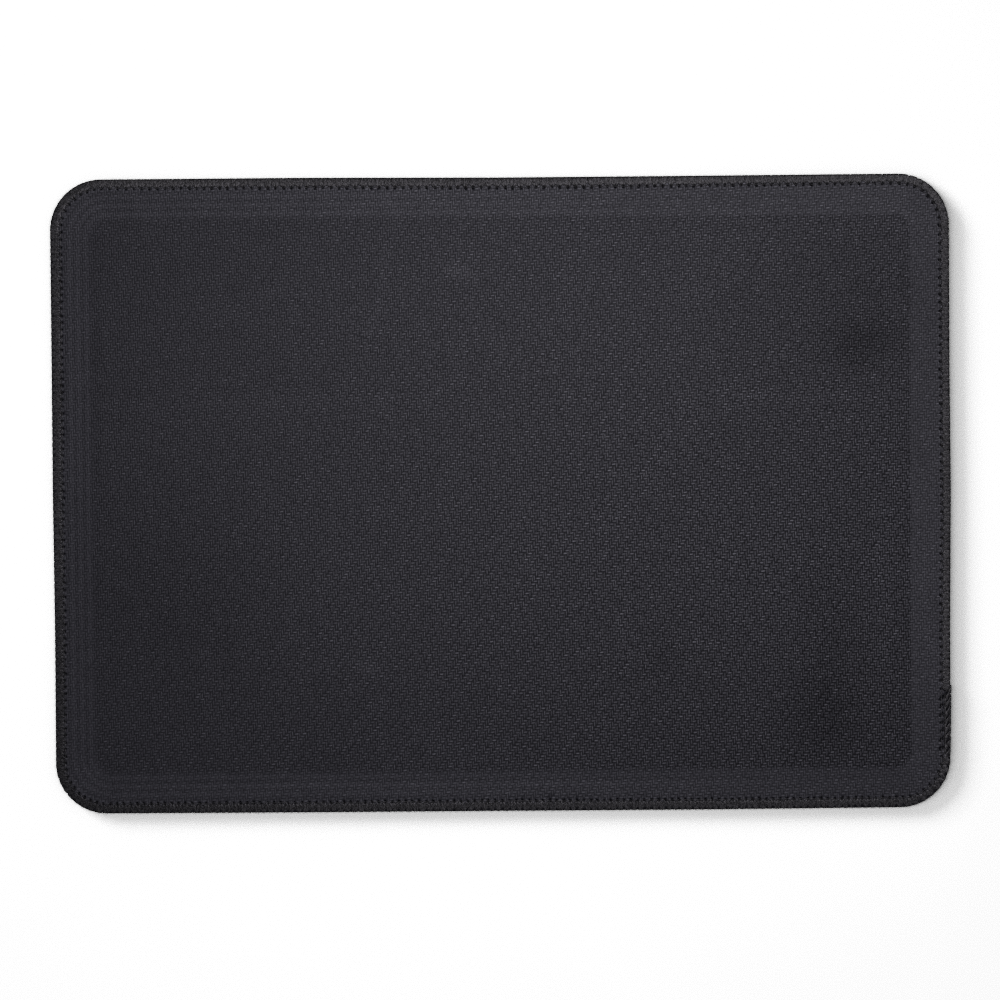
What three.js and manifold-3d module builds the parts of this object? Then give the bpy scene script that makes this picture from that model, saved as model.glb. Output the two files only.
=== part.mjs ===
// A mouse pad: a woven cloth bonded to a sponge rubber base, with an overlocked edge.
// Millimetres, +Z up. The origin is on the desk, under the middle of the pad.
import * as THREE from "three";
import { mergeVertices } from "three/addons/utils/BufferGeometryUtils.js";
import Module from "manifold-3d";

const wasm = await Module();
wasm.setup();

// Driving dimensions: the pad in plan, over its stitched edge
const PAD_LENGTH = 350;
const PAD_WIDTH = 247.5;
const CORNER_RADIUS = 20;

// Driving dimensions: the bonded sheets, away from the edge
const RUBBER_THICKNESS = 2.1;
const FILM_THICKNESS = 0.1;
const CLOTH_THICKNESS = 0.8;

// Driving dimensions: the edge, where the stitches squeeze the sheets
const EDGE_DROP = 0.35; // how far the cloth is pulled down at the edge
const PRESSED_BAND = 11.5; // from the needle line to where the sheets are at their full thickness
const PRESSED_CORNER_RADIUS = 6.5; // of the pressed band's inner boundary

// Driving dimensions: the overlock stitch and its three threads
const LOOPER_THREAD = 0.4; // thickness of a looper thread as it lies on a face or round the edge
const NEEDLE_THREAD = 0.35; // diameter of the needle thread
const STITCH_BITE = 4; // from the outer edge to the needle line
const STITCH_PITCH = 3; // from one needle hole to the next
const STITCH_NOTCH = 1.2; // depth of the gap between two stitches, from the needle line outwards
const THREAD_GAP = 0.1; // between two threads that lie side by side
const DESK_CLEARANCE = 0.05; // the lower thread lies this far above the desk

// How finely arcs are faceted
const CORNER_DIVISIONS = 5;
const EDGE_ROUND_STEPS = 3;
const THREAD_SIDES = 8;

// Insets, measured inwards from the outer edge
const CUT_INSET = LOOPER_THREAD; // the sheets are cut here, and the looper threads wrap round the cut
const STITCHED_INSET = STITCH_BITE + NEEDLE_THREAD; // the squeezed margin ends just past the needle thread
const PRESSED_INSET = STITCH_BITE + PRESSED_BAND;
const LOOPER_INSET = STITCH_BITE - NEEDLE_THREAD / 2 - THREAD_GAP; // a looper thread's stitches end here

// Heights above the desk
const FILM_BASE = RUBBER_THICKNESS;
const CLOTH_BASE = FILM_BASE + FILM_THICKNESS;
const CLOTH_TOP = CLOTH_BASE + CLOTH_THICKNESS;
const MARGIN_TOP = CLOTH_TOP - EDGE_DROP; // the cloth's face under the upper threads
const MARGIN_BOTTOM = DESK_CLEARANCE + LOOPER_THREAD; // the rubber's face over the lower thread
const EDGE_MIDDLE = (MARGIN_TOP + MARGIN_BOTTOM) / 2; // the two looper threads meet here

// A rounded rectangle, parallel to the pad's outer edge.
function outline(inset, radius = CORNER_RADIUS - inset) {
  const x = PAD_LENGTH / 2 - inset - radius;
  const y = PAD_WIDTH / 2 - inset - radius;
  const quarter = Math.PI / 2;
  const shape = new THREE.Shape();
  shape.absarc(x, -y, radius, -quarter, 0);
  shape.absarc(x, y, radius, 0, quarter);
  shape.absarc(-x, y, radius, quarter, 2 * quarter);
  shape.absarc(-x, -y, radius, 2 * quarter, 3 * quarter);
  shape.closePath();
  return shape;
}

// The corners of such a rectangle, once each, anticlockwise from above.
function outlinePoints(inset, radius) {
  return outline(inset, radius).getPoints(CORNER_DIVISIONS).slice(0, -1);
}

// A profile of { inset, z, radius } points carried round the pad. It runs from the inside of the upper face
// outwards and down. A ring's profile closes on itself, and a sheet's two ends are closed by flat faces.
function sweep(profile, isRing) {
  const rings = profile.map(({ inset, radius }) => outlinePoints(inset, radius));
  const count = rings[0].length;
  const positions = rings.flatMap((ring, r) => ring.flatMap((p) => [p.x, p.y, profile[r].z]));
  const triangles = [];
  const spans = isRing ? rings.length : rings.length - 1;
  for (let r = 0; r < spans; r++) {
    const here = r * count;
    const next = ((r + 1) % rings.length) * count;
    for (let i = 0; i < count; i++) {
      const j = (i + 1) % count;
      triangles.push(here + i, next + i, next + j, here + i, next + j, here + j);
    }
  }
  if (!isRing) {
    const last = (rings.length - 1) * count;
    for (const [a, b, c] of THREE.ShapeUtils.triangulateShape(rings[0], [])) {
      triangles.push(a, b, c);
    }
    for (const [a, b, c] of THREE.ShapeUtils.triangulateShape(rings.at(-1), [])) {
      triangles.push(last + a, last + c, last + b);
    }
  }
  const geometry = new THREE.BufferGeometry();
  geometry.setAttribute("position", new THREE.Float32BufferAttribute(positions, 3));
  geometry.setIndex(triangles);
  return geometry;
}

// A closed geometry as a solid for joining, and a solid as a geometry again.
function toSolid(geometry) {
  const bare = geometry.clone();
  bare.deleteAttribute("normal");
  bare.deleteAttribute("uv");
  const merged = mergeVertices(bare);
  return new wasm.Manifold(
    new wasm.Mesh({
      numProp: 3,
      vertProperties: merged.getAttribute("position").array,
      triVerts: new Uint32Array(merged.getIndex().array),
    }),
  );
}

function toGeometry(solid) {
  const { vertProperties, triVerts } = solid.getMesh();
  const geometry = new THREE.BufferGeometry();
  geometry.setAttribute("position", new THREE.BufferAttribute(vertProperties, 3));
  geometry.setIndex(new THREE.BufferAttribute(triVerts, 1));
  return geometry;
}

// A sheet of the laminate. Its faces run flat across the pad and come together towards the cut edge.
function sheet(upper, upperMargin, lower, lowerMargin) {
  const profile = [
    { inset: PRESSED_INSET, z: upper, radius: PRESSED_CORNER_RADIUS },
    { inset: STITCHED_INSET, z: upperMargin },
    { inset: CUT_INSET, z: upperMargin },
    { inset: CUT_INSET, z: lowerMargin },
    { inset: STITCHED_INSET, z: lowerMargin },
    { inset: PRESSED_INSET, z: lower, radius: PRESSED_CORNER_RADIUS },
  ];
  return sweep(profile, false);
}

// Woven facing that the mouse runs on
function wovenTopCloth() {
  return sheet(CLOTH_TOP, MARGIN_TOP, CLOTH_BASE, CLOTH_BASE - EDGE_DROP);
}

// Hot-melt film that bonds the cloth to the rubber
function adhesiveFilm() {
  return sheet(CLOTH_BASE, CLOTH_BASE - EDGE_DROP, FILM_BASE, FILM_BASE - EDGE_DROP);
}

// Sponge rubber sheet that grips the desk
function rubberBase() {
  return sheet(FILM_BASE, FILM_BASE - EDGE_DROP, 0, MARGIN_BOTTOM);
}

// The stitches of a looper thread where they lie on a face: a margin with one tooth to each needle hole.
function laidStitches(z) {
  const needleLine = outline(LOOPER_INSET);
  const stitches = Math.round(needleLine.getLength() / STITCH_PITCH);
  const teeth = new THREE.Path();
  const corners = [];
  for (let i = 0; i < 2 * stitches; i++) {
    const along = i / (2 * stitches);
    const point = needleLine.getPointAt(along);
    const tangent = needleLine.getTangentAt(along);
    const outward = new THREE.Vector2(tangent.y, -tangent.x);
    const isNotch = i % 2 === 1;
    corners.push(isNotch ? point.addScaledVector(outward, STITCH_NOTCH) : point);
  }
  teeth.setFromPoints(corners);
  const face = outline(CUT_INSET / 2);
  face.holes.push(teeth);
  const extruded = new THREE.ExtrudeGeometry(face, {
    depth: LOOPER_THREAD,
    bevelEnabled: false,
    curveSegments: CORNER_DIVISIONS,
  });
  return extruded.translate(0, 0, z);
}

// The same thread where it wraps round the cut edge, from its face of the pad to the middle of the edge.
// Side is 1 for the upper face and -1 for the lower one. The thread lies on that face at height z.
function edgeWrap(side, z) {
  const profile = [];
  for (let i = 0; i <= EDGE_ROUND_STEPS; i++) {
    const turn = ((i / EDGE_ROUND_STEPS) * Math.PI) / 2;
    profile.push({
      inset: CUT_INSET * (1 - Math.sin(turn)),
      z: z + side * LOOPER_THREAD * Math.cos(turn),
    });
  }
  const meeting = EDGE_MIDDLE + (side * THREAD_GAP) / 2;
  profile.push({ inset: 0, z: meeting }, { inset: CUT_INSET, z: meeting });
  return sweep(side > 0 ? profile : profile.reverse(), true);
}

// Looper thread that covers the upper face's margin
function upperLooperThread() {
  const laid = toSolid(laidStitches(MARGIN_TOP));
  return toGeometry(laid.add(toSolid(edgeWrap(1, MARGIN_TOP))));
}

// Looper thread that covers the lower face's margin
function lowerLooperThread() {
  const laid = toSolid(laidStitches(DESK_CLEARANCE));
  return toGeometry(laid.add(toSolid(edgeWrap(-1, MARGIN_BOTTOM))));
}

// Needle thread, along the needle line on the upper face
function needleThread() {
  const flat = Math.PI / THREAD_SIDES; // turns the section so that it lies on a flat side
  const radius = NEEDLE_THREAD / 2;
  const reach = radius / Math.cos(flat);
  const profile = [];
  for (let i = 0; i < THREAD_SIDES; i++) {
    const turn = flat - (2 * Math.PI * i) / THREAD_SIDES;
    profile.push({
      inset: STITCH_BITE - reach * Math.cos(turn),
      z: MARGIN_TOP + radius + reach * Math.sin(turn),
    });
  }
  return sweep(profile, true);
}

function piece(name, geometry, material) {
  const mesh = new THREE.Mesh(geometry, material);
  mesh.name = name;
  return mesh;
}

const clothFinish = new THREE.MeshStandardMaterial({ color: 0x323136, roughness: 0.75, metalness: 0 });
const filmFinish = new THREE.MeshStandardMaterial({ color: 0x8a8a86, roughness: 0.4, metalness: 0 });
const rubberFinish = new THREE.MeshStandardMaterial({ color: 0x1d1d1f, roughness: 0.85, metalness: 0 });
const threadFinish = new THREE.MeshStandardMaterial({ color: 0x29282a, roughness: 0.9, metalness: 0 });

const laminate = new THREE.Group();
laminate.add(
  piece("woven_top_cloth", wovenTopCloth(), clothFinish),
  piece("adhesive_film", adhesiveFilm(), filmFinish),
  piece("rubber_base", rubberBase(), rubberFinish),
);

const overlockedEdge = new THREE.Group();
overlockedEdge.add(
  piece("needle_thread", needleThread(), threadFinish),
  piece("upper_looper_thread", upperLooperThread(), threadFinish),
  piece("lower_looper_thread", lowerLooperThread(), threadFinish),
);

const mousePad = new THREE.Group();
mousePad.add(laminate, overlockedEdge);

export default mousePad;
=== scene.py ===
import math

import bpy
import numpy as np
from mathutils import Matrix, Vector


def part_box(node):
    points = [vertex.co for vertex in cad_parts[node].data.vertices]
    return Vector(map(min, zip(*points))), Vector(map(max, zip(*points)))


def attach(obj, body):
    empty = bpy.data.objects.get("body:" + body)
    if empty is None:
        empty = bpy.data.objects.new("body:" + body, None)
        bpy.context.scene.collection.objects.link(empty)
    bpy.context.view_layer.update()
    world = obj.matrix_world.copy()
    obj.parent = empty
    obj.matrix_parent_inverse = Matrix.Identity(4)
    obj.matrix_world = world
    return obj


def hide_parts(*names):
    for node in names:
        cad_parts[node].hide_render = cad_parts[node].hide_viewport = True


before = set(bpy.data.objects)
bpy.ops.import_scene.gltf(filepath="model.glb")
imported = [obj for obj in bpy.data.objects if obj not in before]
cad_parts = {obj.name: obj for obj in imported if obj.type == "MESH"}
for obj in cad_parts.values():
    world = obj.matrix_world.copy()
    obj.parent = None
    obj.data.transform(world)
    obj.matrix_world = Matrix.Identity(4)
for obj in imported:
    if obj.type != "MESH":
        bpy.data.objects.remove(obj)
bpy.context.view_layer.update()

MM = 0.001

# The pad's sizes, read from the frame
edge_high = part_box("upper_looper_thread")[1]
lower_thread_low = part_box("lower_looper_thread")[0]
needle_low, needle_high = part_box("needle_thread")
cloth_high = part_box("woven_top_cloth")[1]

HALF_LENGTH = edge_high.x
HALF_WIDTH = edge_high.y
CUT_INSET = HALF_LENGTH - cloth_high.x  # the sheets are cut here, inside the threads
NEEDLE_SIZE = needle_high.z - needle_low.z
NEEDLE_INSET = HALF_LENGTH - needle_high.x + NEEDLE_SIZE / 2  # the row of needle holes
STITCHED_INSET = NEEDLE_INSET + NEEDLE_SIZE  # the margin under the stitches ends here
CLOTH_TOP = cloth_high.z
CLOTH_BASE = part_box("adhesive_film")[1].z
FILM_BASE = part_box("rubber_base")[1].z
MARGIN_TOP = needle_low.z  # the cloth's face under the upper stitches
MARGIN_BOTTOM = lower_thread_low.z + CUT_INSET  # the rubber's face over the lower stitches
EDGE_DROP = CLOTH_TOP - MARGIN_TOP

# The pad in plan
CORNER_RADIUS = 20 * MM
PRESSED_INSET = 15.5 * MM  # inner boundary of the band that the presser foot has flattened
PRESSED_CORNER_RADIUS = 6.5 * MM
PRESSED_SHIFT = (0.35 * MM, 0.15 * MM)  # the band is a little wider on two sides
PRESSED_FADE = (-1.1 * MM, 0.1 * MM)  # over this stretch the weave goes over to the flattened one
FEED_LINE_PITCH = 3.3 * MM  # faint lines along the band
FEED_LINE_LIGHT = (-160 * MM, 160 * MM, 0.05, 0.01)  # from x to x, how much they change its light

# The sheets' faces towards the edge
SHOULDER = 1.0 * MM  # the cloth bends down this far on both sides of the pressed band's boundary
SHOULDER_DROPS = (0.0, 0.05 * MM, 0.11 * MM)  # at its inner end, at the boundary and at its outer end
BAND_MIDDLE_INSET = 8 * MM
BAND_MIDDLE_DROP = 0.27 * MM
SWELL_INSET = STITCHED_INSET + 1.0 * MM  # beside the stitches the faces swell a little
CLOTH_SWELL = 0.01 * MM
RUBBER_SWELL = 0.03 * MM
# From the stitches to the cut edge: inset, and depth below the face of the margin
CLOTH_ROUNDING = (
    (2.0 * MM, 0.06 * MM),
    (1.3 * MM, 0.17 * MM),
    (0.85 * MM, 0.29 * MM),
    (0.55 * MM, 0.42 * MM),
    (CUT_INSET, 0.60 * MM),
)
RUBBER_ROUNDING = (
    (1.3 * MM, 0.00 * MM),
    (0.85 * MM, 0.10 * MM),
    (0.55 * MM, 0.30 * MM),
    (CUT_INSET, 0.60 * MM),
)

# The overlock stitch. Values for the four sides are for the right, top, left and bottom one
SIDE_PITCHES = (3.29 * MM, 3.06 * MM, 2.73 * MM, 2.67 * MM)
PITCH_VARIATION = 0.06
SEAM_OVERLAP = 27 * MM  # the seam runs past its start on the right side
OVERLAP_FADE = 2 * MM  # over this length its second pass climbs onto its first
OVERLAP_SQUEEZE = 0.20 * MM  # the cloth is squeezed there
# How far the outline wanders inwards, for each side at these shares of its length
EDGE_WANDER_SHARES = (0, 0.25, 0.5, 0.75)
EDGE_WANDER = (
    (0.20 * MM, 0.15 * MM, -0.35 * MM, 0.00 * MM),
    (0.00 * MM, 0.22 * MM, 0.34 * MM, -0.10 * MM),
    (0.00 * MM, 0.00 * MM, -0.06 * MM, 0.23 * MM),
    (0.00 * MM, -0.17 * MM, -0.17 * MM, -0.20 * MM),
)
# How far the needle holes wander inwards from their line
BITE_WANDER_SHARES = (0, 0.5, 1)
BITE_WANDER = (
    (-0.45 * MM, -0.35 * MM, -0.25 * MM),
    (-0.20 * MM, 0.10 * MM, -0.22 * MM),
    (0.15 * MM, 0.10 * MM, -0.15 * MM),
    (-0.05 * MM, 0.18 * MM, 0.00 * MM),
)

# The needle holes
HOLE_HALF_WIDTH = 0.46 * MM  # along the edge
HOLE_HALF_LENGTH = 0.76 * MM  # across the edge
HOLE_DEPTH = 0.62 * MM
HOLE_SIZES = (0.72, 1.10)  # the smallest and the largest, as shares of these half sizes
HOLE_SCATTER = 0.10 * MM  # across the edge
HOLE_SLANT = 0.5  # sideways for each step inwards, to either side by chance
HOLE_BRIM = 1.25  # a hole ends where the square of the distance, in half sizes, has reached this
HOLE_WALL = 0.8  # power of the depth from there to the flat bottom
OVERLAP_HOLE_GROWTH = 0.45  # holes in the seam's overlap are pulled open
OVERLAP_HOLE_SLANT = -0.6  # and all slant one way
HOLE_ZONE = 1.0 * MM  # the faces are finely meshed this far on both sides of the needle line

# The woven cloth: a 2/2 twill
WARP_PITCH = 0.882 * MM
WEFT_PITCH = 1.105 * MM
WEFT_SLANT = math.radians(4.3)  # the wefts rise to the right
WARP_SLANT = math.radians(0.2)  # the warps lean to the left
TWILL_REPEAT = 4
TWILL_RELIEF = 0.06 * MM
FLOAT_SLIP = 0.3  # how far a float lies off its place by chance, in yarns
YARN_SWAY = 0.5 * MM  # how far the yarns wave from side to side
YARN_SWAY_SPOTS = 3 * MM

# The threads
PLIES = 3
PLY_VALLEY = 0.92  # the thread's radius between its plies
PLY_TWIST = 4.2 * MM  # length of one turn of the plies
LOOPER_HALF_WIDTH = 0.50 * MM
LOOPER_HALF_HEIGHT = 0.11 * MM
OVERLAP_LIFT = 0.22 * MM  # the seam's second pass lies on its first
OVERLAP_REACH = 0.45 * MM  # and reaches further out, towards its end
TAIL_INSET = 2.25 * MM  # the needle thread's second run, which lies flat on the others
TAIL_LIFT = 0.26 * MM
# The needle thread from one hole to the next: share of the way, and height over the margin's face
NEEDLE_RUN = (
    (0.0, -0.50 * MM),
    (0.2, -0.14 * MM),
    (0.5, -0.08 * MM),
    (0.8, -0.14 * MM),
)

# One strand of a looper thread, from a needle hole to the middle of the pad's edge: its place from the hole
# to where it crosses the rim, as a share, its inset and its height over the face in mm, its width as a share,
# and its lean from up to outwards in degrees
STRAND = (
    (0.14, 3.36, -0.26, 0.80, 0),
    (0.30, 3.30, 0.00, 1.60, 5),
    (0.42, 3.00, 0.02, 1.80, 5),
    (0.62, 2.25, -0.04, 2.45, 6),
    (0.88, 1.35, -0.14, 1.65, 12),
    (1.00, 0.60, -0.18, 1.20, 28),
    (1.00, 0.26, -0.56, 1.05, 86),
    (1.10, 0.24, -0.88, 1.00, 90),
)
# A strand of the seam's second pass, which follows the needle thread's second run before it goes to the rim
OVERLAP_STRAND = (
    (-0.60, 3.40, -0.80, 0.60, 0),
    (-0.40, 2.40, -0.14, 1.20, 6),
    (0.40, 2.20, -0.04, 1.30, 6),
    (1.00, 1.35, -0.12, 1.30, 12),
    (1.45, 0.65, -0.28, 1.40, 40),
    (1.50, 0.27, -0.58, 1.20, 90),
    (1.50, 0.24, -0.88, 1.00, 90),
)
OVERLAP_RETURN = -0.5  # where the strand back to the next hole crosses the rim, past that hole
# Where a strand crosses the rim, from its hole to the next midpoint, on each side
UPPER_RIM_SHARES = (0.50, 0.50, 0.74, 0.78)
LOWER_RIM_SHARES = (0.30, 0.30, 0.30, 0.30)
# How the strands differ, with insets and depths in mm as in their rows
STRAND_SWAY = 0.25 * MM  # to either side by chance
SWAY_INSET = 2.5  # nearer to the rim than this
BULK_RANGE = (0.88, 1.14)  # width of the thinnest and the thickest strand, as a share
RIM_WIDTHS = (1.70, 1.80, 1.00, 1.00)  # how much wider they are near the rim, on each side
RIM_INSETS = (0.4, 2.5)  # between these
RIM_LIGHTS = (0.70, 0.50, 1.00, 1.00)  # painted shade: how light the thinnest ones are just inside the rim, on each side
RIM_LIGHT_INSETS = (0.3, 0.7, 1.4)  # from the first to the second, and fully light at the third
END_LIGHTS = (1.12, 1.20, 0.80, 0.80)  # painted light and shade: how light their ends at the needle holes are, on each side
END_INSETS = (1.9, 3.36)  # from the full strand to its end
SUNK_DEPTH = 0.8  # the seam's second pass presses the first one into the cloth
SUNK_INSET = 1.0  # further in than this

# Faint marks on the cloth: middle and half sizes in mm, turn in degrees, and how much lighter it is there
HANDLING_MARKS = (
    (0, 25, 140, 70, 0, -0.065),
    (120, -45, 85, 75, 0, 0.07),
    (140, 58, 20, 13, 10, -0.24),
    (134, 80, 38, 34, 0, -0.10),
    (96, 66, 24, 26, 0, -0.06),
    (124, -88, 22, 22, 0, -0.18),
    (127, -60, 16, 46, 0, -0.12),
    (149, -32, 8, 40, 0, 0.09),
    (62, -66, 8, 13, 0, -0.12),
    (-28, -99, 24, 11, 0, 0.08),
    (-128, -40, 52, 50, 0, -0.09),
    (-16, 87, 9, 4.5, -20, 0.28),
    (-53, -67, 10, 3.5, -20, 0.20),
    (-118, -62, 7, 2.5, 35, 0.14),
    (-90, 36, 75, 5.5, 0, 0.07),
    (110, 37, 60, 4.5, 0, 0.06),
    (-47, 79, 36, 2.5, 77, 0.09),
    (-165, 75, 9, 80, 0, 0.11),
    (164, 60, 9, 90, 0, -0.09),
    (95, 114, 80, 8, 0, -0.07),
    (-20, -113.6, 170, 2.6, 0, 0.13),
    (-50, 119.4, 130, 2.2, 0, 0.12),
    (-162, 110, 10, 10, 0, 0.10),
    (-162, -110, 10, 10, 0, 0.14),
    (162, -110, 10, 10, 0, 0.10),
)
# Painted shade on the stitched edge, in the same columns: darker patches on every side, darkest at the lower
# left corner
EDGE_PAINTED_SHADE = (
    (-175, -124, 130, 120, 0, -0.34),
    (20, -124, 170, 14, 0, -0.07),
    (150, -124, 40, 14, 0, -0.08),
    (175, 15, 14, 150, 0, -0.19),
    (175, 85, 14, 50, 0, -0.12),
    (-30, 124, 120, 14, 0, -0.08),
    (120, 124, 60, 14, 0, -0.14),
    (-165, 116, 24, 18, 0, -0.10),
    (168, 116, 20, 16, 0, -0.10),
)
MARK_REACH = 1.2  # a patch has faded out at this many half sizes from its middle

# How finely the meshes follow their shapes
RING_STEP = 3 * MM  # between the points of a coarse ring round a sheet
FINE_POINTS = 8  # points of a fine ring to each coarse one
HOLE_RINGS = 11  # across the holes
LOOPER_STEPS = 2  # from one control point to the next
NEEDLE_STEPS = 3

# The photograph's frame
PHOTO_PIXELS = 1000
PAD_LENGTH_PIXELS = 898
PAD_CENTRE_PIXEL = (501.4, 494.4)
PAD_TURN = math.radians(0.43)
CAMERA_DISTANCE = 1.5
CAMERA_LEAN = math.radians(1.7)
PIXEL_FILTER = 1.1  # width in pixels, for edges as crisp as the photograph's

# The studio
FLOOR_HALF_SIZE = 6.0
FLOOR_HEIGHT = -0.05 * MM
FLOOR_GREYS = (0.89, 0.91)
FLOOR_SPOTS = 40 * MM
CEILING_FADE = (0.35, 0.85)  # how steeply a direction rises, from the walls to the ceiling
GROUND_FADE = (-0.3, -0.1)  # the same from the ground, which gives no light, to the walls

rng = np.random.default_rng(7)


# Places along the edge

QUARTER = math.pi / 2
SIDES = 4
CORNER_SIGNS = np.array([[1, 1], [-1, 1], [-1, -1], [1, -1]])  # of the corner after each side
side_lengths = np.array([HALF_WIDTH, HALF_LENGTH, HALF_WIDTH, HALF_LENGTH]) * 2 - 2 * CORNER_RADIUS
corner_length = (CORNER_RADIUS - NEEDLE_INSET) * QUARTER
segment_lengths = np.stack([side_lengths, np.full(SIDES, corner_length)], axis=1).ravel()
segment_starts = np.concatenate([[0], np.cumsum(segment_lengths)])
LAP = segment_starts[-1]  # once round the pad along the needle line


def segment_at(distance):
    """The side or corner at a distance round the pad: twice the side's number, and 1 more for its corner."""
    found = np.searchsorted(segment_starts, np.mod(distance, LAP), side="right") - 1
    return np.clip(found, 0, 2 * SIDES - 1)


def along_sides(distance, rows, shares):
    """Values at distances round the pad, from a row for each side with values at shares of its length."""
    side_starts = segment_starts[:-1:2]
    knots = side_starts[:, None] + side_lengths[:, None] * np.array(shares)
    return np.interp(distance, knots.ravel(), np.ravel(rows), period=LAP)


def edge_points(distance, inset, radius=None):
    """Points at distances round the needle line, from the foot of the right side, anticlockwise from above.

    They lie on a rounded rectangle at the given inset. It wanders with the outline if no radius is given.
    Also gives the outward direction at each point.
    """
    distance = np.mod(np.asarray(distance, float), LAP)
    inset = np.broadcast_to(np.asarray(inset, float), distance.shape)
    if radius is None:
        inset = inset + along_sides(distance, EDGE_WANDER, EDGE_WANDER_SHARES)
        radius = CORNER_RADIUS - inset
    radius = np.broadcast_to(radius, distance.shape)
    segment = segment_at(distance)
    share = (distance - segment_starts[segment]) / segment_lengths[segment]
    side, is_corner = segment // 2, segment % 2 == 1
    reach = np.stack([HALF_LENGTH - inset - radius, HALF_WIDTH - inset - radius], axis=-1)
    corner_after = reach * CORNER_SIGNS[side]
    corner_before = reach * CORNER_SIGNS[side - 1]
    along = np.where(is_corner, 1.0, share)[..., None]
    centre = corner_before + (corner_after - corner_before) * along
    turn = QUARTER * (side + np.where(is_corner, share, 0.0))
    outward = np.stack([np.cos(turn), np.sin(turn)], axis=-1)
    return centre + radius[..., None] * outward, outward


def stitch_places():
    """Distances of the needle holes round the pad, a little uneven. The overlap repeats the first of them."""
    corner_pitches = [(SIDE_PITCHES[i] + SIDE_PITCHES[(i + 1) % SIDES]) / 2 for i in range(SIDES)]
    pitches = np.stack([SIDE_PITCHES, corner_pitches], axis=1).ravel()
    places = [0.0]
    while places[-1] < LAP:
        variation = 1 + PITCH_VARIATION * rng.uniform(-1, 1)
        places.append(places[-1] + pitches[segment_at(places[-1])] * variation)
    places = np.array(places) * LAP / places[-1]
    return np.concatenate([places, LAP + places[1 : np.searchsorted(places, SEAM_OVERLAP)]])


def overlap_share(places):
    """1 where the seam's first and second pass lie on each other, 0 elsewhere."""
    from_start = np.mod(places, LAP)
    return np.clip(np.minimum(from_start, SEAM_OVERLAP - from_start) / OVERLAP_FADE, 0, 1)


def second_pass(places):
    """1 on the seam's second pass, 0 on its first."""
    return np.clip((places - LAP) / OVERLAP_FADE, 0, 1)


holes = stitch_places()
hole_insets = NEEDLE_INSET + along_sides(holes, BITE_WANDER, BITE_WANDER_SHARES)
hole_insets += HOLE_SCATTER * rng.uniform(-1, 1, len(holes))
hole_sizes = rng.uniform(*HOLE_SIZES, len(holes)) * (1 + OVERLAP_HOLE_GROWTH * overlap_share(holes))
hole_slants = HOLE_SLANT * rng.uniform(-1, 1, len(holes)) + OVERLAP_HOLE_SLANT * overlap_share(holes)


# Mesh helpers

def mesh_object(name, points, faces, material):
    mesh = bpy.data.meshes.new(name)
    mesh.from_pydata(np.asarray(points).tolist(), [], faces)
    mesh.shade_smooth()
    mesh.materials.append(material)
    made = bpy.data.objects.new(name, mesh)
    bpy.context.scene.collection.objects.link(made)
    return made


def dress(piece, node):
    """Puts a piece in the place of its CAD node."""
    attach(piece, "root")
    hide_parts(node)
    return piece


def band_faces(first, first_count, second, second_count):
    """Faces between two rings of points. The finer ring has a whole number of points to each coarser one."""
    if first_count < second_count:
        step = second_count // first_count
        return [
            [first + i]
            + [second + (i * step + k) % second_count for k in range(step + 1)]
            + [first + (i + 1) % first_count]
            for i in range(first_count)
        ]
    step = first_count // second_count
    return [
        [second + (i + 1) % second_count]
        + [first + (i * step + k) % first_count for k in range(step, -1, -1)]
        + [second + i]
        for i in range(second_count)
    ]


def sheet_object(name, rings, material):
    """A closed sheet from rings of points that run from its upper face round the edge to its lower face."""
    counts = [len(ring) for ring in rings]
    starts = np.concatenate([[0], np.cumsum(counts)]).tolist()
    faces = [list(range(counts[0]))]
    for r in range(len(rings) - 1):
        faces += band_faces(starts[r], counts[r], starts[r + 1], counts[r + 1])
    faces.append([starts[-2] + i for i in reversed(range(counts[-1]))])
    return mesh_object(name, np.concatenate(rings), faces, material)


def smooth_path(controls, steps):
    """A Catmull-Rom curve through rows of control values, with the same number of steps to each."""
    before, here, after, beyond = controls[:-3], controls[1:-2], controls[2:-1], controls[3:]
    t = np.linspace(0, 1, steps, endpoint=False)[None, :, None]
    before, here, after, beyond = (part[:, None, :] for part in (before, here, after, beyond))
    curve = (
        2 * here
        + (after - before) * t
        + (2 * before - 5 * here + 4 * after - beyond) * t**2
        + (3 * here - before - 3 * after + beyond) * t**3
    ) / 2
    return curve.reshape(-1, controls.shape[1])


def unit(vectors):
    return vectors / np.linalg.norm(vectors, axis=1, keepdims=True)


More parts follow.
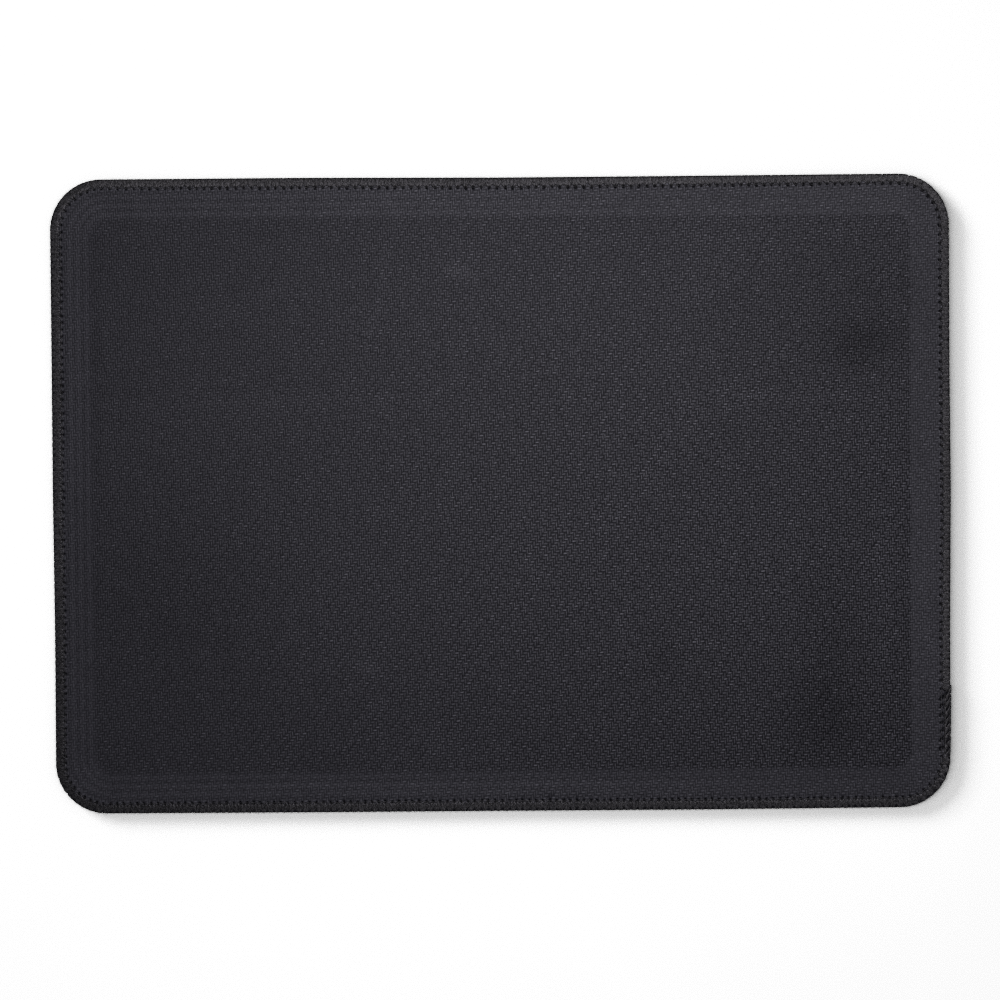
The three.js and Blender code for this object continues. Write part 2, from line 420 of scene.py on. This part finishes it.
def thread_object(name, path, away, half_width, half_height, painted_shading, material):
    """A twisted thread along a path. Away is the direction out of the surface that it lies on.

    Painted shading is how much lighter or darker the thread is painted at each point of the path.
    """
    sides = 2 * PLIES
    tangent = unit(np.gradient(path, axis=0))
    across = unit(np.cross(tangent, away))
    up = np.cross(across, tangent)
    steps = np.linalg.norm(np.diff(path, axis=0), axis=1)
    run = np.concatenate([[0], np.cumsum(steps)])
    turn = 2 * np.pi * (np.arange(sides)[None, :] / sides + run[:, None] / PLY_TWIST)
    reach = np.where(np.arange(sides) % 2 == 0, 1.0, PLY_VALLEY)[None, :]
    sideways = (reach * np.cos(turn))[..., None] * (half_width[:, None] * across)[:, None, :]
    upwards = (reach * np.sin(turn))[..., None] * (half_height[:, None] * up)[:, None, :]
    points = (path[:, None, :] + sideways + upwards).reshape(-1, 3)
    faces = []
    for r in range(len(path) - 1):
        faces += band_faces((r + 1) * sides, sides, r * sides, sides)
    faces.append(list(range(sides)))
    faces.append([len(points) - 1 - i for i in range(sides)])
    made = mesh_object(name, points, faces, material)
    along = np.broadcast_to(run[:, None], turn.shape)
    wide = half_width[:, None] * np.cos(turn)
    tall = half_height[:, None] * np.sin(turn)
    fibre = np.stack([wide, tall, along], axis=-1)
    attribute = made.data.attributes.new("fibre", "FLOAT_VECTOR", "POINT")
    attribute.data.foreach_set("vector", fibre.ravel())
    attribute = made.data.attributes.new("painted_shading", "FLOAT", "POINT")
    attribute.data.foreach_set("value", np.repeat(painted_shading, sides))
    return made


# Materials

class Nodes:
    """A node tree, with a short call for each kind of node that is used."""

    def __init__(self, tree):
        self.tree = tree

    def feed(self, socket, value):
        if isinstance(value, bpy.types.NodeSocket):
            self.tree.links.new(value, socket)
        else:
            socket.default_value = value

    def node(self, kind, inputs=(), **settings):
        made = self.tree.nodes.new(kind)
        for key, value in settings.items():
            setattr(made, key, value)
        for key, value in dict(inputs).items():
            self.feed(made.inputs[key], value)
        return made

    def math(self, operation, *values):
        return self.node("ShaderNodeMath", enumerate(values), operation=operation).outputs[0]

    def place(self):
        """The point on the object, in metres."""
        return self.node("ShaderNodeTexCoord").outputs["Object"]

    def split(self, vector):
        return self.node("ShaderNodeSeparateXYZ", {0: vector}).outputs

    def dot(self, vector, direction):
        made = self.node("ShaderNodeVectorMath", {0: vector, 1: direction}, operation="DOT_PRODUCT")
        return made.outputs["Value"]

    def noise(self, vector, size, detail=2.0):
        """Noise from 0 to 1 with spots of about the given size."""
        inputs = {"Vector": vector, "Scale": 1 / size, "Detail": detail}
        return self.node("ShaderNodeTexNoise", inputs).outputs["Fac"]

    def ramp(self, value, low, high, from_value=0.0, to_value=1.0):
        """A smooth step from one value to another as the input goes from low to high."""
        inputs = {"Value": value, "From Min": low, "From Max": high, "To Min": from_value, "To Max": to_value}
        return self.node("ShaderNodeMapRange", inputs, interpolation_type="SMOOTHSTEP").outputs["Result"]

    def mix(self, share, first, second):
        made = self.node("ShaderNodeMix", data_type="RGBA")
        self.feed(made.inputs["Factor"], share)
        self.feed(made.inputs["A"], first)
        self.feed(made.inputs["B"], second)
        return made.outputs["Result"]

    def bump(self, height, depth):
        """The surface's normal over a relief whose height goes from 0 to 1."""
        inputs = {"Height": height, "Distance": depth, "Strength": 1.0}
        return self.node("ShaderNodeBump", inputs).outputs["Normal"]


class Shader(Nodes):
    """A new material and its nodes."""

    def __init__(self, name):
        self.material = bpy.data.materials.new(name)
        self.material.use_nodes = True
        super().__init__(self.material.node_tree)
        self.surface = self.tree.nodes["Principled BSDF"]

    def set(self, name, value):
        self.feed(self.surface.inputs[name], value)


GREEN_SHARE = 0.97


def colour(grey, blue=1.0):
    """A linear grey with a little less green, and with its blue as a share."""
    return (grey, grey * GREEN_SHARE, grey * blue, 1.0)


def dyed_yarn_with_painted_light(shader, light, greys, blue, roughness, shine, tint):
    """The colour and the shine of dark yarn, which both follow its painted light: painted highlights and
    shade move it between the dark and the pale grey.
    """
    dark, pale = greys
    shader.set("Base Color", shader.mix(light, colour(dark, blue), colour(pale, blue)))
    shader.set("Roughness", roughness)
    shader.set("Specular IOR Level", shader.math("MULTIPLY", light, shine))
    shader.set("Specular Tint", tint)


# Painted highlights on the weave's floats: how much light they are painted as catching
WARP_LIGHT = 0.62  # the warps catch less than the wefts
FLOAT_ENDS = (0.1, 0.9)  # from none to all, by a float's height along its yarn
FLOAT_SIDES = (0.6, 1.0)  # the same across its yarn
DULLEST_FLOAT = 0.65
FLOAT_VARIATION = 0.5  # how much more the shiniest one catches
GLINT = (0.86, 1.0, 0.0, 0.5)  # from shine to shine, how much more painted glint the few shiniest get


def twill(shader, place):
    """A 2/2 twill: its height, and the painted highlights on its floats, from 0 to about 1."""
    weft_way = (math.cos(WEFT_SLANT) * WARP_PITCH, math.sin(WEFT_SLANT) * WARP_PITCH)
    warp_way = (-math.sin(WARP_SLANT) * WEFT_PITCH, math.cos(WARP_SLANT) * WEFT_PITCH)
    counts = np.linalg.inv(np.array([weft_way, warp_way]).T)
    warps = shader.dot(place, (counts[0][0], counts[0][1], 0))
    wefts = shader.dot(place, (counts[1][0], counts[1][1], 0))
    warp = shader.math("FLOOR", warps)
    weft = shader.math("FLOOR", wefts)
    # The floats of each yarn start one yarn further on, and the wefts are up where the warps are down
    along_warp = shader.math("SUBTRACT", wefts, warp)
    along_weft = shader.math("ADD", shader.math("SUBTRACT", warps, weft), 1.0)

    def yarn(along, across, number, kind):
        repeats = shader.math("DIVIDE", shader.math("ADD", along, TWILL_REPEAT / 2), TWILL_REPEAT)
        float_number = shader.math("FLOOR", repeats)
        key = shader.node("ShaderNodeCombineXYZ", {0: number, 1: float_number, 2: kind}).outputs[0]
        chance = shader.node("ShaderNodeTexWhiteNoise", {"Vector": key})
        slip, shine, _ = shader.split(chance.outputs["Color"])
        start = shader.math("SUBTRACT", along, FLOAT_SLIP)
        slipped = shader.math("MULTIPLY_ADD", slip, 2 * FLOAT_SLIP, start)
        rise = shader.math("COSINE", shader.math("MULTIPLY", slipped, 2 * math.pi / TWILL_REPEAT))
        crown = shader.math("SINE", shader.math("MULTIPLY", across, math.pi))
        height = shader.math("MULTIPLY", shader.math("ADD", rise, crown), 0.5)
        # painted highlight on the crown of each float
        lit = shader.math("MULTIPLY", shader.ramp(rise, *FLOAT_ENDS), shader.ramp(crown, *FLOAT_SIDES))
        least = shader.math("ADD", shader.ramp(shine, *GLINT), DULLEST_FLOAT)
        strength = shader.math("MULTIPLY_ADD", shine, FLOAT_VARIATION, least)
        return height, shader.math("MULTIPLY", lit, strength)

    warp_height, warp_light = yarn(along_warp, shader.math("FRACT", warps), warp, 0.0)
    weft_height, weft_light = yarn(along_weft, shader.math("FRACT", wefts), weft, 1.0)
    height = shader.math("MAXIMUM", warp_height, weft_height)
    light = shader.math("MAXIMUM", shader.math("MULTIPLY", warp_light, WARP_LIGHT), weft_light)
    return height, light


def inside_band(shader, place):
    """The distance from the pressed band's inner boundary, in metres, positive towards the edge."""
    x, y, _ = shader.split(place)
    reach_x = HALF_LENGTH - PRESSED_INSET - PRESSED_CORNER_RADIUS
    reach_y = HALF_WIDTH - PRESSED_INSET - PRESSED_CORNER_RADIUS
    from_x = shader.math("ABSOLUTE", shader.math("SUBTRACT", x, PRESSED_SHIFT[0]))
    from_y = shader.math("ABSOLUTE", shader.math("SUBTRACT", y, PRESSED_SHIFT[1]))
    past_x = shader.math("SUBTRACT", from_x, reach_x)
    past_y = shader.math("SUBTRACT", from_y, reach_y)
    out_x = shader.math("MAXIMUM", past_x, 0.0)
    out_y = shader.math("MAXIMUM", past_y, 0.0)
    square = shader.math("ADD", shader.math("MULTIPLY", out_x, out_x), shader.math("MULTIPLY", out_y, out_y))
    outside = shader.math("SQRT", square)
    inside = shader.math("MINIMUM", shader.math("MAXIMUM", past_x, past_y), 0.0)
    return shader.math("SUBTRACT", shader.math("ADD", outside, inside), PRESSED_CORNER_RADIUS)


def with_marks_and_painted_shade(shader, place, total, patches):
    """How light a surface is with patches added: marks on the cloth, and painted shade on the stitched edge.
    Total is how light it is elsewhere.
    """
    for x, y, half_length, half_width, turn, lighter in patches:
        frame_of_mark = {
            "Vector": place,
            "Location": (x * MM, y * MM, 0),
            "Rotation": (0, 0, math.radians(turn)),
            "Scale": (half_length * MM, half_width * MM, 1),
        }
        local = shader.node("ShaderNodeMapping", frame_of_mark, vector_type="TEXTURE").outputs[0]
        distance = shader.node("ShaderNodeVectorMath", {0: local}, operation="LENGTH").outputs["Value"]
        total = shader.math("ADD", total, shader.ramp(distance, 0.0, MARK_REACH, lighter, 0.0))
    return total


MEAN_LIGHT = 0.42  # of the painted light on the weave and on the threads


def eased(shader, light, contrast):
    """Painted light with only a share of its contrast."""
    return shader.math("MULTIPLY_ADD", shader.math("SUBTRACT", light, MEAN_LIGHT), contrast, MEAN_LIGHT)


# How light the cloth is, with painted highlights on its floats and painted shade between its yarns and in its
# needle holes
GROUND_LIGHT = 0.28  # where no float catches light
FLOAT_LIGHT = 0.48  # how much a float adds to that
VALLEY_LIGHT = (0.2, 0.55, 0.6, 1.0)  # painted shade between the yarns, from height to height
HOLE_LIGHT = (0.02 * MM, 0.25 * MM, 1.0, 0.4)  # painted shade in the needle holes, on the face's drop to the edge and where the overlap squeezes the cloth: from depth to depth below the margin's face
BAND_LIFT = 0.12  # the pressed band is lighter by this
BAND_SHARE = 0.92  # and has this share of the weave's light
MOTTLE = 0.24
MOTTLE_SPOTS = 5 * MM
# How strong the weave's painted highlights and shade are: weaker to the left, towards the top and on the left
# of the pressed band, stronger to the right
CONTRAST_ALONG = (-220 * MM, 220 * MM, 0.70, 1.25)  # from x to x
CONTRAST_UP = (-40 * MM, 120 * MM, 1.05, 0.87)  # from y to y
BAND_CONTRAST = (-170 * MM, 60 * MM, 0.70, 1.0)  # from x to x, on the pressed band


def cloth_material():
    shader = Shader("charcoal_twill")
    place = shader.place()
    ripple = shader.node("ShaderNodeTexNoise", {"Vector": place, "Scale": 1 / YARN_SWAY_SPOTS})
    sway = {0: ripple.outputs["Color"], 1: (YARN_SWAY, YARN_SWAY, 0), 2: place}
    uneven = shader.node("ShaderNodeVectorMath", sway, operation="MULTIPLY_ADD").outputs["Vector"]
    height, light = twill(shader, uneven)
    # painted shade between the yarns
    valley = shader.ramp(height, *VALLEY_LIGHT)
    pattern_with_painted_light = shader.math("MULTIPLY", shader.math("MULTIPLY_ADD", light, FLOAT_LIGHT, GROUND_LIGHT), valley)
    x, y, z = shader.split(place)
    contrast = shader.math("MULTIPLY", shader.ramp(x, *CONTRAST_ALONG), shader.ramp(y, *CONTRAST_UP))
    loose = eased(shader, pattern_with_painted_light, contrast)
    band = inside_band(shader, place)
    feed_lines = shader.math("COSINE", shader.math("MULTIPLY", band, 2 * math.pi / FEED_LINE_PITCH))
    lines = shader.math("MULTIPLY", feed_lines, shader.ramp(x, *FEED_LINE_LIGHT))
    flat = eased(shader, pattern_with_painted_light, shader.ramp(x, *BAND_CONTRAST))
    even = shader.math("SUBTRACT", shader.math("MULTIPLY_ADD", flat, BAND_SHARE, BAND_LIFT), lines)
    pressed = shader.ramp(band, *PRESSED_FADE)
    woven = shader.node("ShaderNodeMix", {"Factor": pressed, "A": loose, "B": even}).outputs["Result"]
    # painted shade, darker the deeper the face lies below the margin
    open_face = shader.ramp(shader.math("SUBTRACT", MARGIN_TOP, z), *HOLE_LIGHT)
    mottle = shader.math("MULTIPLY_ADD", shader.noise(place, MOTTLE_SPOTS), MOTTLE, 1 - MOTTLE / 2)
    patches = with_marks_and_painted_shade(shader, place, mottle, HANDLING_MARKS)
    share = shader.math("MULTIPLY", shader.math("MULTIPLY", woven, open_face), patches)
    tint = (0.905, 0.88, 1.0, 1.0)
    dyed_yarn_with_painted_light(shader, share, greys=(0.0005, 0.026), blue=1.28, roughness=0.45, shine=0.66, tint=tint)
    shader.set("Normal", shader.bump(height, TWILL_RELIEF))
    return shader.material


FILM_SPOTS = 6 * MM
FILM_ROUGHNESS = (0.2, 0.8, 0.35, 0.55)  # from clear to clouded


def film_material():
    shader = Shader("hot_melt_film")
    cloud = shader.noise(shader.place(), FILM_SPOTS)
    shader.set("Base Color", shader.mix(cloud, colour(0.20), colour(0.28)))
    shader.set("Roughness", shader.ramp(cloud, *FILM_ROUGHNESS))
    return shader.material


PORE_SIZE = 0.5 * MM
PORE_DETAIL = 4.0
PORE_RELIEF = 0.6  # as a share of the anti-slip relief
PORE_ROUGHNESS = (0.3, 0.7, 0.7, 0.9)
RUBBER_SPOTS = 30 * MM
RUBBER_MOTTLE = 0.5
RELIEF_LIGHT = 0.4  # painted highlight: how much lighter the top of the relief is than its hollows


def rubber_material():
    shader = Shader("sponge_rubber")
    place = shader.place()
    height, _ = twill(shader, place)
    pores = shader.noise(place, PORE_SIZE, PORE_DETAIL)
    relief = shader.math("MULTIPLY_ADD", pores, PORE_RELIEF, height)
    painted_relief_light = shader.math("MULTIPLY", height, RELIEF_LIGHT)
    shade = shader.math("MULTIPLY_ADD", shader.noise(place, RUBBER_SPOTS), RUBBER_MOTTLE, painted_relief_light)
    shader.set("Base Color", shader.mix(shade, colour(0.008), colour(0.018)))
    shader.set("Roughness", shader.ramp(pores, *PORE_ROUGHNESS))
    shader.set("Specular IOR Level", 0.3)
    shader.set("Normal", shader.bump(relief, TWILL_RELIEF))
    return shader.material


FIBRE_SIZE = 0.42 * MM
FIBRE_STRETCH = (1.0, 1.0, 0.6)  # fibres are longer along the thread than across it
FIBRE_LIGHT = (0.33, 0.73, 0.03, 0.70)  # painted highlights on the fibres' tops and painted shade in their gaps: from the gaps to the tops
FIBRE_RELIEF = 0.05 * MM
THREAD_MOTTLE = 0.3
THREAD_SPOTS = 2.5 * MM
# The contrast of the fibres' painted highlights and shade, over the sum of x and y as shares of the half
# length and the half width: weaker towards the upper right
THREAD_CONTRAST = (-0.5, 0.6, 0.92, 0.80)


def thread_material():
    shader = Shader("bulked_thread")
    fibre = shader.node("ShaderNodeAttribute", attribute_name="fibre").outputs["Vector"]
    stretch = {0: fibre, 1: FIBRE_STRETCH}
    along = shader.node("ShaderNodeVectorMath", stretch, operation="MULTIPLY").outputs["Vector"]
    strands = shader.noise(along, FIBRE_SIZE)
    place = shader.place()
    mottle = shader.noise(place, THREAD_SPOTS)
    pattern_with_painted_light = shader.math("MULTIPLY_ADD", mottle, THREAD_MOTTLE, shader.ramp(strands, *FIBRE_LIGHT))
    corner_to_corner = shader.dot(place, (1 / HALF_LENGTH, 1 / HALF_WIDTH, 0))
    even = eased(shader, pattern_with_painted_light, shader.ramp(corner_to_corner, *THREAD_CONTRAST))
    painted_shading = shader.node("ShaderNodeAttribute", attribute_name="painted_shading").outputs["Fac"]
    # painted shade on the stitched edge
    patches = with_marks_and_painted_shade(shader, place, 1.0, EDGE_PAINTED_SHADE)
    light = shader.math("MULTIPLY", shader.math("MULTIPLY", even, painted_shading), patches)
    tint = (0.96, 0.915, 1.0, 1.0)
    dyed_yarn_with_painted_light(shader, light, greys=(0.001, 0.030), blue=1.10, roughness=0.48, shine=0.87, tint=tint)
    shader.set("Normal", shader.bump(strands, FIBRE_RELIEF))
    return shader.material


# The sheets

coarse_count = int(round(LAP / RING_STEP))
fine_places = np.arange(coarse_count * FINE_POINTS) * LAP / (coarse_count * FINE_POINTS)
coarse_places = fine_places[::FINE_POINTS]
hole_ring_insets = np.linspace(NEEDLE_INSET + HOLE_ZONE, NEEDLE_INSET - HOLE_ZONE, HOLE_RINGS)


def ring(places, inset, height, radius=None):
    plan, _ = edge_points(places, inset, radius)
    return np.column_stack([plan, np.broadcast_to(height, len(places))])


def hole_dip(inset):
    """How far the needle holes sink the face, at the fine places."""
    order = np.argsort(holes % LAP)
    centres = (holes % LAP)[order]
    dip = np.zeros(len(fine_places))
    for near in (-1, 0):
        position = (np.searchsorted(centres, fine_places) + near) % len(centres)
        hole = order[position]
        inwards = inset - hole_insets[hole]
        sideways = np.mod(fine_places - centres[position] + LAP / 2, LAP) - LAP / 2
        along = sideways - hole_slants[hole] * inwards
        square = (along / HOLE_HALF_WIDTH) ** 2 + (inwards / HOLE_HALF_LENGTH) ** 2
        depth = np.clip(HOLE_BRIM - square / hole_sizes[hole] ** 2, 0, 1) ** HOLE_WALL
        dip = np.maximum(dip, HOLE_DEPTH * depth)
    return dip


def plain_face(height):
    """Rings of a face between two sheets: flat to the pressed band, then down to the margin."""
    return [
        ring(coarse_places, PRESSED_INSET, height, PRESSED_CORNER_RADIUS),
        ring(coarse_places, STITCHED_INSET, height - EDGE_DROP),
        ring(coarse_places, CUT_INSET, height - EDGE_DROP),
    ]


def cloth_piece():
    rings = []
    for inwards, drop in zip((SHOULDER, 0.0, -SHOULDER), SHOULDER_DROPS):
        rings.append(ring(coarse_places, PRESSED_INSET + inwards, CLOTH_TOP - drop, PRESSED_CORNER_RADIUS))
    rings.append(ring(coarse_places, BAND_MIDDLE_INSET, CLOTH_TOP - BAND_MIDDLE_DROP))
    rings.append(ring(fine_places, SWELL_INSET, MARGIN_TOP + CLOTH_SWELL))
    for inset in hole_ring_insets:
        rings.append(ring(fine_places, inset, MARGIN_TOP - hole_dip(inset)))
    squeeze = OVERLAP_SQUEEZE * overlap_share(coarse_places)
    for inset, depth in CLOTH_ROUNDING:
        rings.append(ring(coarse_places, inset, MARGIN_TOP - depth - squeeze))
    rings += reversed(plain_face(CLOTH_BASE))
    return sheet_object("twill_cloth", rings, cloth_material())


def film_piece():
    rings = plain_face(CLOTH_BASE)
    rings += reversed(plain_face(FILM_BASE))
    return sheet_object("bonding_film", rings, film_material())


def rubber_piece():
    rings = plain_face(FILM_BASE)
    for inset, depth in reversed(RUBBER_ROUNDING):
        rings.append(ring(coarse_places, inset, MARGIN_BOTTOM + depth))
    for inset in reversed(hole_ring_insets):
        rings.append(ring(fine_places, inset, MARGIN_BOTTOM + hole_dip(inset)))
    rings.append(ring(coarse_places, SWELL_INSET, MARGIN_BOTTOM - RUBBER_SWELL))
    rings.append(ring(coarse_places, PRESSED_INSET, 0.0, PRESSED_CORNER_RADIUS))
    return sheet_object("rubber_sheet", rings, rubber_material())


# The threads

def looper_controls(rim_shares):
    """A looper thread's control points, in the columns of a strand's row, and the painted light and shade at
    each.

    Here the first column is the place round the pad. A strand runs out from each hole and another one back
    to the next hole.
    """
    middle = (holes[:-1] + holes[1:]) / 2
    strand = np.array(STRAND)
    rows = []
    for k, side in enumerate(segment_at(middle) // 2):
        is_second = middle[k] > LAP
        is_doubled = overlap_share(middle[k]) > 0
        rim_width = 1.0 if is_second else RIM_WIDTHS[side]
        outwards = (np.array(OVERLAP_STRAND), 1.0) if is_second else (strand, rim_shares[side])
        back = (strand[::-1], OVERLAP_RETURN if is_second else rim_shares[side])
        for hole, (points, reach) in ((k, outwards), (k + 1, back)):
            share, inset, height, width, lean = points.T
            sway = STRAND_SWAY * rng.uniform(-1, 1) * (inset < SWAY_INSET)
            place = holes[hole] + share * reach * (middle[k] - holes[hole]) + sway
            bite = hole_insets[hole] / NEEDLE_INSET
            bulk = rng.uniform(*BULK_RANGE)
            is_near_rim = (inset > RIM_INSETS[0]) & (inset < RIM_INSETS[1])
            width = width * bulk * np.where(is_near_rim, rim_width, 1.0)
            is_hidden = is_doubled and not (is_second and hole == k)
            height = height - np.where(is_hidden & (inset > SUNK_INSET), SUNK_DEPTH, 0.0)
            # painted shade on the thin strands near the rim, and painted light and shade at their ends in the
            # needle holes
            rim_light = np.interp(bulk, BULK_RANGE, (RIM_LIGHTS[side], 1.0))
            lights = (rim_light, rim_light, 1.0, 1.0, END_LIGHTS[side])
            painted_shading = np.interp(inset, RIM_LIGHT_INSETS + END_INSETS, lights)
            rows.append(np.column_stack([place, inset * bite, height, width, lean, painted_shading]))
    return np.concatenate(rows)


def looper_piece(name, face, facing, rim_shares, material):
    """A looper thread on one face of the pad. Facing is 1 for the upper face and -1 for the lower one."""
    place, inset, height, width, lean, painted_shading = looper_controls(rim_shares).T
    inset = inset * MM - OVERLAP_REACH * np.clip((place - LAP) / SEAM_OVERLAP, 0, 1)
    lift = OVERLAP_LIFT if facing > 0 else 0.0
    height = height * MM + second_pass(place) * lift
    plan, outward = edge_points(place, inset)
    lean = np.radians(lean)
    away = np.column_stack([outward * np.sin(lean)[:, None], facing * np.cos(lean)])
    controls = np.column_stack([plan, face + facing * height, away, width, painted_shading])
    path = smooth_path(controls, LOOPER_STEPS)
    width, painted_shading = path[:, 6:].T
    half_width = LOOPER_HALF_WIDTH * width
    half_height = LOOPER_HALF_HEIGHT * np.minimum(width, 1.0)
    return thread_object(name, path[:, :3], unit(path[:, 3:6]), half_width, half_height, painted_shading, material)


def needle_piece(material):
    share, height = np.array(NEEDLE_RUN).T
    span = np.diff(holes)
    places = (holes[:-1, None] + span[:, None] * share).ravel()
    second = second_pass(places)
    heights = MARGIN_TOP + np.tile(height, len(span)) + second * TAIL_LIFT
    insets = np.repeat(hole_insets[:-1], len(NEEDLE_RUN))
    insets += (TAIL_INSET - insets) * second
    plan, _ = edge_points(places, insets)
    path = smooth_path(np.column_stack([plan, heights, 1 + second]), NEEDLE_STEPS)
    away = np.tile([0.0, 0.0, 1.0], (len(path), 1))
    half_width = NEEDLE_SIZE / 2 * path[:, 3]
    half_height = np.full(len(path), NEEDLE_SIZE / 2)
    painted_shading = np.ones(len(path))
    return thread_object("needle_thread_run", path[:, :3], away, half_width, half_height, painted_shading, material)


cloth = dress(cloth_piece(), "woven_top_cloth")
film = dress(film_piece(), "adhesive_film")
rubber = dress(rubber_piece(), "rubber_base")
thread_finish = thread_material()
needle = dress(needle_piece(thread_finish), "needle_thread")
upper_looper = looper_piece("upper_looper_run", MARGIN_TOP, 1, UPPER_RIM_SHARES, thread_finish)
lower_looper = looper_piece("lower_looper_run", MARGIN_BOTTOM, -1, LOWER_RIM_SHARES, thread_finish)
dress(upper_looper, "upper_looper_thread")
dress(lower_looper, "lower_looper_thread")


# Floor, light and camera

def floor():
    """A pale floor that throws no light back at the pad."""
    signs = ((-1, -1), (1, -1), (1, 1), (-1, 1))
    corners = [(x * FLOOR_HALF_SIZE, y * FLOOR_HALF_SIZE, FLOOR_HEIGHT) for x, y in signs]
    shader = Shader("white_floor")
    dark, pale = ((grey, grey, grey, 1) for grey in FLOOR_GREYS)
    shader.set("Base Color", shader.mix(shader.noise(shader.place(), FLOOR_SPOTS), dark, pale))
    shader.set("Roughness", 0.9)
    shader.set("Specular IOR Level", 0.0)
    made = mesh_object("floor", corners, [[0, 1, 2, 3]], shader.material)
    made.visible_diffuse = False
    made.visible_glossy = False
    return made


def softbox(name, place, width, height, watts, lit=()):
    """A soft light that is aimed at the pad's middle.

    With lit, it lights those objects only, and the others still cast their shadows.
    """
    light = bpy.data.lights.new(name, "AREA")
    light.shape = "RECTANGLE"
    light.size = width
    light.size_y = height
    light.energy = watts
    made = bpy.data.objects.new(name, light)
    made.location = place
    made.rotation_euler = (-Vector(place)).to_track_quat("-Z", "Y").to_euler()
    bpy.context.scene.collection.objects.link(made)
    if lit:
        made.light_linking.receiver_collection = bpy.data.collections.new(name + "_lights")
    for receiver in lit:
        made.light_linking.receiver_collection.objects.link(receiver)


def sky(walls, ceiling):
    """Light from all round the studio: pale walls under a dimmer ceiling, and none from below."""
    world = bpy.data.worlds.new("studio")
    world.use_nodes = True
    nodes = Nodes(world.node_tree)
    direction = nodes.node("ShaderNodeTexCoord").outputs["Generated"]
    _, _, steepness = nodes.split(direction)
    room = nodes.ramp(steepness, *CEILING_FADE, walls, ceiling)
    low, high = GROUND_FADE
    above = nodes.node("ShaderNodeMapRange", {"Value": steepness, "From Min": low, "From Max": high})
    background = world.node_tree.nodes["Background"]
    nodes.feed(background.inputs["Color"], (1, 1, 1, 1))
    nodes.feed(background.inputs["Strength"], nodes.math("MULTIPLY", room, above.outputs["Result"]))
    bpy.context.scene.world = world


def camera():
    pixel = 2 * HALF_LENGTH / PAD_LENGTH_PIXELS
    middle = PHOTO_PIXELS / 2
    right = Vector((math.cos(PAD_TURN), -math.sin(PAD_TURN), 0))
    back = Vector((0, math.sin(CAMERA_LEAN), math.cos(CAMERA_LEAN)))
    up = back.cross(right).normalized()
    right = up.cross(back)
    aim = Vector((0, 0, MARGIN_TOP))
    aim += right * (middle - PAD_CENTRE_PIXEL[0]) * pixel
    aim -= up * (middle - PAD_CENTRE_PIXEL[1]) * pixel
    data = bpy.data.cameras.new("camera")
    data.lens = data.sensor_width * PAD_LENGTH_PIXELS / PHOTO_PIXELS * CAMERA_DISTANCE / (2 * HALF_LENGTH)
    made = bpy.data.objects.new("camera", data)
    turn = Matrix((right, up, back)).transposed().to_4x4()
    made.matrix_world = Matrix.Translation(aim + back * CAMERA_DISTANCE) @ turn
    bpy.context.scene.collection.objects.link(made)
    bpy.context.scene.camera = made


ground = floor()
pad_pieces = [cloth, film, rubber, needle, upper_looper, lower_looper]
sky(walls=0.527, ceiling=0.093)
softbox("low_floor_softbox", (-9.80, 6.28, 2.94), width=6.3, height=2.5, watts=2240, lit=[ground])
softbox("tall_floor_softbox", (-5.80, -0.24, 5.52), width=3.7, height=7.4, watts=265, lit=[ground])
softbox("high_softbox", (1.06, 1.0, 1.91), width=1.2, height=1.2, watts=24.4, lit=pad_pieces)
softbox("overhead_softbox", (0.03, 0.06, 0.68), width=0.3, height=0.3, watts=1.53)
camera()
scene = bpy.context.scene
scene.view_settings.view_transform = "Standard"
scene.cycles.use_denoising = False
scene.cycles.filter_width = PIXEL_FILTER
